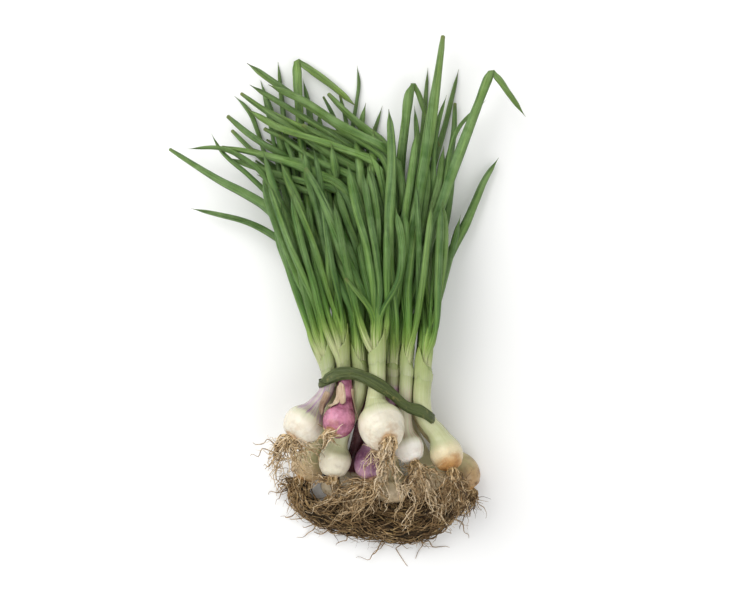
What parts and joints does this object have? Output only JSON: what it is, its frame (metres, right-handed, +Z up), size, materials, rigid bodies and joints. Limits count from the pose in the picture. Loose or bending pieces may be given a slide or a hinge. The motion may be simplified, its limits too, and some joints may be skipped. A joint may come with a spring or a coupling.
{
  "type": "spring onion bunch",
  "caption": "Bunch of fresh spring onions lying on its side: white and purple bulbs with tangled roots, long hollow green leaves bent and fanned out, tied with a flat leaf band.",
  "frame": {"origin": "middle of the bunch's footprint, on the surface it lies on", "axes": "+Y along the bunch from the roots to the leaf tips, +Z up from the surface it lies on, +X to the right seen from above with the leaf tips away from the viewer"},
  "size_m": [0.2502, 0.3555, 0.077],
  "materials": {
    "leaf": "satin green leaf skin with a thin waxy bloom, yellow-green towards the shaft",
    "bulb_white": "moist glossy white bulb and pale green-white shaft with fine lengthwise lines",
    "bulb_purple": "moist glossy red-purple bulb skin with lengthwise streaks, paler shaft",
    "roots": "dull dry tan-brown root threads",
    "tie": "satin dark green flattened leaf"
  },
  "bodies": {
    "root": {"onion_01_bulb": "bulb_white", "onion_01_leaf_1": "leaf", "onion_01_leaf_2": "leaf", "onion_01_leaf_3": "leaf", "onion_01_roots": "roots", "onion_02_bulb": "bulb_purple", "onion_02_leaf_1": "leaf", "onion_02_leaf_2": "leaf", "onion_02_roots": "roots", "onion_03_bulb": "bulb_white", "onion_03_leaf_1": "leaf", "onion_03_leaf_2": "leaf", "onion_03_leaf_3": "leaf", "onion_03_roots": "roots", "onion_04_bulb": "bulb_white", "onion_04_leaf_1": "leaf", "onion_04_leaf_2": "leaf", "onion_04_leaf_3": "leaf", "onion_04_roots": "roots", "onion_05_bulb": "bulb_white", "onion_05_leaf_1": "leaf", "onion_05_leaf_2": "leaf", "onion_05_roots": "roots", "onion_06_bulb": "bulb_white", "onion_06_leaf_1": "leaf", "onion_06_leaf_2": "leaf", "onion_06_roots": "roots", "onion_07_bulb": "bulb_white", "onion_07_leaf_1": "leaf", "onion_07_leaf_2": "leaf", "onion_07_leaf_3": "leaf", "onion_07_leaf_4": "leaf", "onion_07_roots": "roots", "onion_08_bulb": "bulb_purple", "onion_08_leaf_1": "leaf", "onion_08_leaf_2": "leaf", "onion_08_roots": "roots", "onion_09_bulb": "bulb_white", "onion_09_leaf_1": "leaf", "onion_09_leaf_2": "leaf", "onion_09_roots": "roots", "onion_10_bulb": "bulb_white", "onion_10_leaf_1": "leaf", "onion_10_leaf_2": "leaf", "onion_10_roots": "roots", "onion_11_bulb": "bulb_white", "onion_11_leaf_1": "leaf", "onion_11_leaf_2": "leaf", "onion_11_leaf_3": "leaf", "onion_11_roots": "roots", "onion_12_bulb": "bulb_white", "onion_12_leaf_1": "leaf", "onion_12_leaf_2": "leaf", "onion_12_roots": "roots", "onion_13_bulb": "bulb_white", "onion_13_leaf_1": "leaf", "onion_13_leaf_2": "leaf", "onion_13_leaf_3": "leaf", "onion_13_roots": "roots", "tie_band": "tie"}
  },
  "joints": []
}
